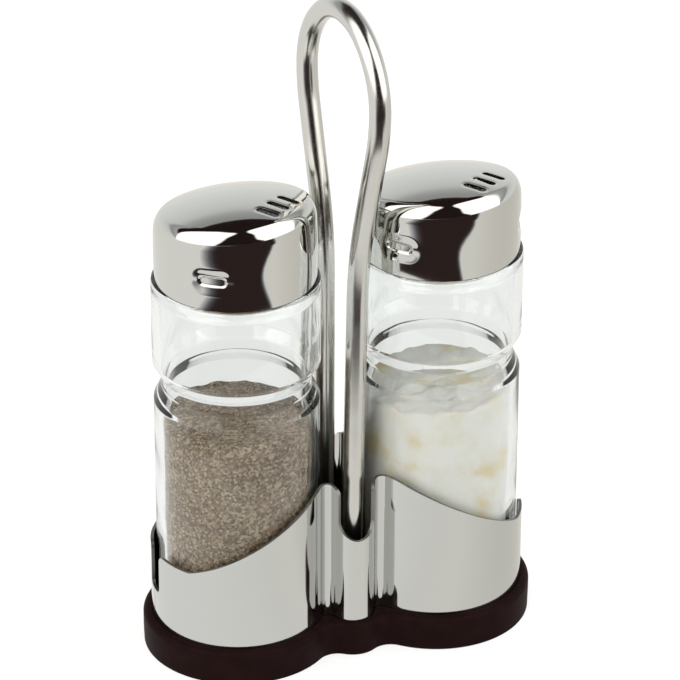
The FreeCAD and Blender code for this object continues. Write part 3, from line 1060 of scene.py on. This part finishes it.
# %% [markdown]
# ## Bending the panels
# A press bends the flat blank along the outline. Here the blank's edge is drawn flat, cut into
# upright strips by Bisect, and each strip's points are moved to their place along the outline.
# Solidify gives the sheet its thickness, with the sheared edge as a finish of its own. The
# tabs, which pass through the deck of the base and turn in, are added to the same mesh.

# %% Draw the blank
def divided(path, step=0.4 * MM):
    """The same path with its long straight runs divided."""
    fine = [path[0]]
    for low, high in zip(path, path[1:]):
        count = max(1, math.ceil((high - low).length / step))
        fine += [low.lerp(high, i / count) for i in range(1, count + 1)]
    return fine


def blank_half():
    """Right half of the blank's edge as (run, height), from the notch's bottom to the seam."""
    end_run = outline_run[-1]
    slot_run = end_run - panel_radius * math.asin(slot_half / panel_radius)
    corner_run = slot_run - slot_corner
    across = half_spacing + panel_radius * math.cos((end_run - corner_run) / panel_radius)
    rim = rounded_profile([
        (0, notch_bottom, 0),
        (notch_half, notch_bottom, notch_half * full_round),
        (notch_half, rim_inner[1], notch_corner),
        (rim_inner[0], rim_inner[1], rim_inner_round),
        (rim_outer[0], rim_outer[1], 0),
        (across, rim_outer[1], 0),
    ])
    edge = [(run_at_x(p.x), p.y) for p in divided(rim)]
    end = rounded_profile([
        (corner_run, rim_outer[1], 0),
        (slot_run, rim_outer[1], slot_corner * full_round),
        (slot_run, slot_bottom, slot_round),
        (end_run - seam_half, slot_bottom, 0),
    ])
    edge += [(p.x, p.y) for p in end[1:]]
    edge.append((end_run - seam_half, panel_foot))
    return edge


# %% Slice and bend the blank
def bent_sheet(name, face):
    """The blank, sliced upright, bent along the outline and given its thickness."""
    right = blank_half()
    middle = outline_run[-1] / 2
    left = [(2 * middle - run, height) for run, height in reversed(right) if run > middle + 1e-7]
    blank = bmesh.new()
    blank.faces.new([blank.verts.new((run, 0, height)) for run, height in left + right])
    for i in range(1, blank_slices):
        run = outline_run[-1] * i / blank_slices
        bmesh.ops.bisect_plane(
            blank, geom=blank.verts[:] + blank.edges[:] + blank.faces[:],
            dist=1e-8, plane_co=(run, 0, 0), plane_no=(1, 0, 0),
        )
    outline_y = [p.y for p in outline]
    for vertex in blank.verts:
        run = vertex.co.x
        vertex.co.x = interpolate(run, outline_run, outline_x)
        vertex.co.y = face * interpolate(run, outline_run, outline_y)
    bmesh.ops.recalc_face_normals(blank, faces=blank.faces[:])
    mesh = bpy.data.meshes.new(name)
    blank.to_mesh(mesh)
    blank.free()
    piece = link_mesh(name, mesh)
    mesh.materials.append(panel_steel)
    mesh.materials.append(edge_steel)
    sheet = piece.modifiers.new("sheet", "SOLIDIFY")
    sheet.thickness = panel_thickness
    sheet.material_offset_rim = 1
    sample = mesh.polygons[len(mesh.polygons) // 4]
    sheet.offset = -1 if sample.normal.y * sample.center.y > 0 else 1
    sheet.use_even_offset = True
    apply_modifiers(piece)
    return piece


# %% Bend and join the tabs
def bent_tab(x, face):
    """One tab that goes down through the deck and turns in under it."""
    loop = rounded_profile([
        (0, panel_foot, 0),
        (0, deck_underside - panel_thickness, tab_outer_bend),
        (panel_thickness + tab_reach, deck_underside - panel_thickness, 0),
        (panel_thickness + tab_reach, deck_underside, 0),
        (panel_thickness, deck_underside, tab_inner_bend),
        (panel_thickness, panel_foot, 0),
    ])
    outline_y = [p.y for p in outline]
    rows = []
    for i in range(tab_steps + 1):
        across = x + tab_width * (i / tab_steps - 0.5)
        run = run_at_x(across)
        near = interpolate(run - tab_probe, outline_run, outline_y)
        far = interpolate(run + tab_probe, outline_run, outline_y)
        near_x = interpolate(run - tab_probe, outline_run, outline_x)
        far_x = interpolate(run + tab_probe, outline_run, outline_x)
        inward = Vector((near - far, far_x - near_x)).normalized()
        place = Vector((across, (near + far) / 2))
        rows.append([
            (place.x + inward.x * p.x, face * (place.y + inward.y * p.x), p.y) for p in loop
        ])
    return mesh_from_rows("tab", rows)


def joined(piece, extras):
    """Adds the meshes of some extra pieces to a piece, and removes the extras."""
    work = bmesh.new()
    work.from_mesh(piece.data)
    for extra in extras:
        work.from_mesh(extra.data)
        bpy.data.objects.remove(extra)
    bmesh.ops.recalc_face_normals(work, faces=work.faces[:])
    work.to_mesh(piece.data)
    work.free()
    piece.data.shade_smooth()
    piece.data.set_sharp_from_angle(angle=math.radians(40))


# %% Make both panels
for name, face in (("front", 1), ("rear", -1)):
    panel = bent_sheet(name + "_steel_panel", face)
    joined(panel, [bent_tab(side * x, face) for side in (1, -1) for x in tab_places])
    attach(panel, "stand")
    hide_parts(name + "_panel")
    print(panel.name, len(panel.data.polygons), "faces")

# %% [markdown]
# ## Floor, studio and light
# The floor is white paper. The camera sees it brighter than its own shade. Mirrors see it
# glowing with a warm tint and a painted shade that darkens it to the right, as in the
# photograph. Steel shows only what stands round it, so a dark card lies on the floor in front
# and draws the dark stripes low on the caps and panels. Only reflections see the card. The four
# soft lamps are hidden from reflections, because their square shapes would show in the caps;
# the world stands in for them there.

# %% Lay the floor
floor_half = 3.0
floor_mesh = bpy.data.meshes.new("studio_floor")
floor_mesh.from_pydata(
    [(x * floor_half, y * floor_half, 0) for x, y in ((-1, -1), (1, -1), (1, 1), (-1, 1))],
    [], [(0, 1, 2, 3)],
)
floor = link_mesh("studio_floor", floor_mesh)
paper, paper_tree, paper_shader = new_material(
    "white_paper_floor", Base_Color=linear("#f2f2f0"), Roughness=0.9
)
paper_path = add_node(paper_tree, "ShaderNodeLightPath")
paper_place = add_node(paper_tree, "ShaderNodeTexCoord").outputs["Object"]
paper_way = add_node(
    paper_tree, "ShaderNodeVectorMath", {"operation": "NORMALIZE"}, i0=paper_place
)
paper_across = add_node(paper_tree, "ShaderNodeSeparateXYZ", None, Vector=paper_way.outputs[0])
paper_part = add_node(
    paper_tree, "ShaderNodeMapRange", None, Value=paper_across.outputs["X"], i1=-1.0, i2=1.0
)
# Painted shade for mirrors only: the paper glows warm white and darkens from left to right.
paper_painted_shade_ramp = add_node(paper_tree, "ShaderNodeValToRGB", None, Fac=paper_part.outputs["Result"])
set_ramp(paper_painted_shade_ramp, [(0.0, "#fbfaf7"), (0.45, "#f3f1ec"), (0.75, "#f4f2ec"), (1.0, "#e4e1d9")])
paper_white = add_node(
    paper_tree, "ShaderNodeEmission", None, Color=linear("#ffffff"), Strength=1.0
)
paper_painted_shade_glow = add_node(
    paper_tree, "ShaderNodeEmission", None, Color=paper_painted_shade_ramp.outputs["Color"], Strength=1.0
)
paper_seen = add_node(
    paper_tree, "ShaderNodeMath", {"operation": "MAXIMUM"},
    i0=paper_path.outputs["Is Camera Ray"], i1=paper_path.outputs["Is Transmission Ray"],
)
paper_shown = add_node(
    paper_tree, "ShaderNodeMixShader", None, i0=paper_path.outputs["Is Glossy Ray"],
    i1=paper_shader.outputs[0], i2=paper_painted_shade_glow.outputs[0],
)
paper_share = add_node(
    paper_tree, "ShaderNodeMath", {"operation": "MULTIPLY"}, i0=paper_seen.outputs[0], i1=0.75
)
paper_mix = add_node(
    paper_tree, "ShaderNodeMixShader", None, i0=paper_share.outputs[0],
    i1=paper_shown.outputs[0], i2=paper_white.outputs[0],
)
paper_tree.links.new(paper_mix.outputs[0], paper_tree.nodes["Material Output"].inputs["Surface"])
floor_mesh.materials.append(paper)
print(floor.name, "is %.0f m square" % (2 * floor_half))

# %% Lay the dark card
card_columns = 48
card_height = 1 * MM
front_way = Vector((-math.sin(camera_turn), -math.cos(camera_turn), 0))
right_way = Vector((math.cos(camera_turn), -math.sin(camera_turn), 0))


def floor_card(name, way, rows, soft_edges):
    """A card only for reflections; rows give its distance in metres and edges in degrees."""
    mesh = bpy.data.meshes.new(name)
    corners = []
    shades = []
    for reach, first, last in rows:
        first -= soft_edges[0]
        last += soft_edges[1]
        for i in range(card_columns + 1):
            degrees = first + (last - first) * i / card_columns
            turned_way = Matrix.Rotation(math.radians(degrees), 3, "Z") @ way
            corners.append(turned_way * reach + Vector((0, 0, card_height)))
            inside = ((degrees - first) / soft_edges[0], (last - degrees) / soft_edges[1])
            shades.append(min(*inside, 1.0))
    faces = []
    for k in range(len(rows) - 1):
        near = k * (card_columns + 1)
        far = near + card_columns + 1
        for i in range(card_columns):
            faces.append((near + i, near + i + 1, far + i + 1, far + i))
    mesh.from_pydata(corners, [], faces)
    shade = mesh.attributes.new("shade", "FLOAT", "POINT")
    shade.data.foreach_set("value", shades)
    card = link_mesh(name, mesh)
    material, tree, _ = new_material(name)
    depth = add_node(tree, "ShaderNodeAttribute", {"attribute_name": "shade"}).outputs["Fac"]
    ramp = add_node(tree, "ShaderNodeValToRGB", None, Fac=depth)
    set_ramp(ramp, [
        (0.0, "#f5f3ee"), (0.3, "#aaaab0"), (0.55, "#66646b"), (0.8, "#433a3c"), (1.0, "#342827"),
    ])
    glow = add_node(tree, "ShaderNodeEmission", None, Color=ramp.outputs["Color"], Strength=1.0)
    tree.links.new(glow.outputs[0], tree.nodes["Material Output"].inputs["Surface"])
    mesh.materials.append(material)
    card.visible_camera = False
    card.visible_diffuse = False
    card.visible_transmission = False
    card.visible_shadow = False
    return card


dark_card = floor_card("dark_card", front_way, [
    (0.165, -52, 41), (0.18, -46, 37), (0.197, -38, 32.5), (0.212, -28, 29.5), (0.225, -21, 28),
    (0.238, -18, 28), (0.252, -18, 30), (0.272, -21, 35.5), (0.29, -25, 42), (0.305, -27, 46),
    (0.34, -27, 49), (0.45, -24, 50), (2.98, -19, 49),
], (22, 6))
print(dark_card.name, len(dark_card.data.polygons), "faces")


# %% Hang the lamps
def area_lamp(name, place, aim, size, power, colour):
    """A soft lamp aimed at a place; it lights the set, but steel and glass don't mirror it."""
    data = bpy.data.lights.new(name, "AREA")
    data.shape = "RECTANGLE"
    data.size, data.size_y = size
    data.energy = power
    data.color = linear(colour)[:3]
    lamp = bpy.data.objects.new(name, data)
    bpy.context.scene.collection.objects.link(lamp)
    lamp.visible_glossy = False
    lamp.location = place
    lamp.rotation_mode = "QUATERNION"
    lamp.rotation_quaternion = (Vector(aim) - Vector(place)).to_track_quat("-Z", "Y")
    print(name, "%.1f W" % power)
    return lamp


area_lamp("overhead_softbox", (-0.05, -0.15, 1.1), (0, 0, 0.05), (1.7, 1.4), 13, "#fffdf8")
area_lamp("front_softbox", (-0.5, -1.4, 0.55), (0, 0, 0.07), (2.0, 2.0), 7.5, "#fffcf5")
area_lamp("left_softbox", (-1.1, -0.35, 0.7), (0, 0, 0.06), (1.5, 1.5), 8, "#fffaf2")
area_lamp("right_softbox", (1.1, -0.25, 0.8), (0, 0, 0.06), (1.5, 1.5), 7, "#f6faff")

# %% [markdown]
# ## The world that steel and glass see
# The camera sees plain white, and dull surfaces get an even room light. Mirrors and glass see
# a room that a photographer would build: a pale backdrop that darkens upwards, a bright
# softbox above it, and one large dark shape that reaches from above the backdrop over the top
# to behind the camera. The shape draws the black fields with crisp sides on the caps. It is
# given by its left and right limits at each step of climb.

# %% Give the world its backdrop
world = bpy.data.worlds.new("studio")
bpy.context.scene.world = world
world.use_nodes = True
sky = world.node_tree
sky.nodes.clear()


def set_curve(curve_node, points):
    """Gives a float curve straight lines through points; all numbers run from 0 to 1."""
    curve = curve_node.mapping.curves[0]
    for place in points[1:-1]:
        curve.points.new(*place)
    curve.points[0].location = points[0]
    curve.points[len(points) - 1].location = points[-1]
    for point in curve.points:
        point.handle_type = "VECTOR"
    curve_node.mapping.update()


# How far a view climbs from the horizon behind the set, over the top, to the one behind the
# camera (0 to 1), and how far it goes from left to right (0 to 1)
sky_path = add_node(sky, "ShaderNodeLightPath")
sky_way = add_node(sky, "ShaderNodeTexCoord").outputs["Generated"]
sky_parts = add_node(sky, "ShaderNodeSeparateXYZ", None, Vector=sky_way)
sky_up = add_node(
    sky, "ShaderNodeMath", {"operation": "MAXIMUM"}, i0=sky_parts.outputs["Z"], i1=0.0005
)
sky_away, sky_right = [
    add_node(
        sky, "ShaderNodeVectorMath", {"operation": "DOT_PRODUCT"}, i0=sky_way, i1=tuple(way)
    ).outputs["Value"]
    for way in (-front_way, right_way)
]
climb_angle = add_node(sky, "ShaderNodeMath", {"operation": "ARCTAN2"}, i0=sky_up, i1=sky_away)
climb = add_node(sky, "ShaderNodeMath", {"operation": "DIVIDE"}, i0=climb_angle, i1=math.pi)
half_right = add_node(sky, "ShaderNodeMath", {"operation": "MULTIPLY"}, i0=sky_right, i1=0.5)
sky_across = add_node(sky, "ShaderNodeMath", {"operation": "ADD"}, i0=half_right, i1=0.5)

# The dark shape: the climb in degrees, then its left and right limits from -1 to 1
dark_shape = [
    (0, 0.4, -0.4), (37.5, 0.4, -0.4), (38.5, -0.32, 0.1), (41, -0.37, 0.14), (46, -0.42, 0.17),
    (50, -0.55, 0.22), (55, -0.85, 0.28), (66, -0.98, 0.42), (75, -0.98, 0.52), (82, -0.84, 0.48),
    (88, -0.56, 0.42), (95, -0.42, 0.36), (105, -0.34, 0.27), (113, -0.28, 0.2), (119, -0.2, 0.17),
    (124, -0.1, 0.17), (130, -0.07, 0.2), (136, -0.1, 0.26), (142, -0.16, 0.34), (150, -0.25, 0.41),
    (160, -0.31, 0.45), (170, -0.38, 0.5), (180, -0.48, 0.65),
]
dark_left, dark_right = [add_node(sky, "ShaderNodeFloatCurve", None, Value=climb) for _ in "LR"]
set_curve(dark_left, [(up / 180, (left + 1) / 2) for up, left, right in dark_shape])
set_curve(dark_right, [(up / 180, (right + 1) / 2) for up, left, right in dark_shape])
dark_sides = []
for inner, outer, soft_from, soft_to in (
    (sky_across, dark_left, -0.02, 0.03),
    (dark_right, sky_across, -0.015, 0.02),
):
    depth = add_node(sky, "ShaderNodeMath", {"operation": "SUBTRACT"}, i0=inner, i1=outer)
    dark_sides.append(add_node(
        sky, "ShaderNodeMapRange", {"interpolation_type": "SMOOTHSTEP"},
        Value=depth, i1=soft_from, i2=soft_to, i3=0.0, i4=1.0,
    ))
dark_share = add_node(
    sky, "ShaderNodeMath", {"operation": "MULTIPLY"}, i0=dark_sides[0], i1=dark_sides[1]
)
print("the dark shape has %d steps of climb" % len(dark_shape))

# The backdrop's brightness by climb, and where the softbox begins
softbox_share = add_node(
    sky, "ShaderNodeMapRange", {"interpolation_type": "SMOOTHSTEP"},
    Value=climb, i1=60 / 180, i2=80 / 180, i3=0.0, i4=1.0,
)
backdrop_strength = add_node(sky, "ShaderNodeFloatCurve", None, Value=climb)
set_curve(backdrop_strength, [
    (0, 0.98), (8 / 180, 0.95), (16 / 180, 0.92), (24 / 180, 0.84), (28 / 180, 0.76),
    (32 / 180, 0.54), (36 / 180, 0.42), (60 / 180, 0.6), (1, 0.95),
])

# %% Mix the lights of the world
lights = {
    name: add_node(sky, "ShaderNodeBackground", None, Color=linear(colour), Strength=strength)
    for name, colour, strength in (
        ("backdrop", "#f6f8f7", backdrop_strength),
        ("softbox", "#fffdf8", 1.8),
        ("dark shape", "#261c1b", 1.0),
        ("room", "#ffffff", 0.8),
        ("plain white", "#ffffff", 1.0),
    )
}
mirrored = add_node(
    sky, "ShaderNodeMath", {"operation": "MAXIMUM"},
    i0=sky_path.outputs["Is Glossy Ray"], i1=sky_path.outputs["Is Transmission Ray"],
)
for name, share, first, second in (
    ("pale studio", softbox_share, "backdrop", "softbox"),
    ("studio", dark_share, "pale studio", "dark shape"),
    ("light", mirrored, "room", "studio"),
    ("whole sky", sky_path.outputs["Is Camera Ray"], "light", "plain white"),
):
    lights[name] = add_node(
        sky, "ShaderNodeMixShader", None, i0=share, i1=lights[first], i2=lights[second]
    )
add_node(sky, "ShaderNodeOutputWorld", None, Surface=lights["whole sky"])
print("the world mixes", ", ".join(lights))

bpy.context.scene.view_settings.view_transform = "Standard"
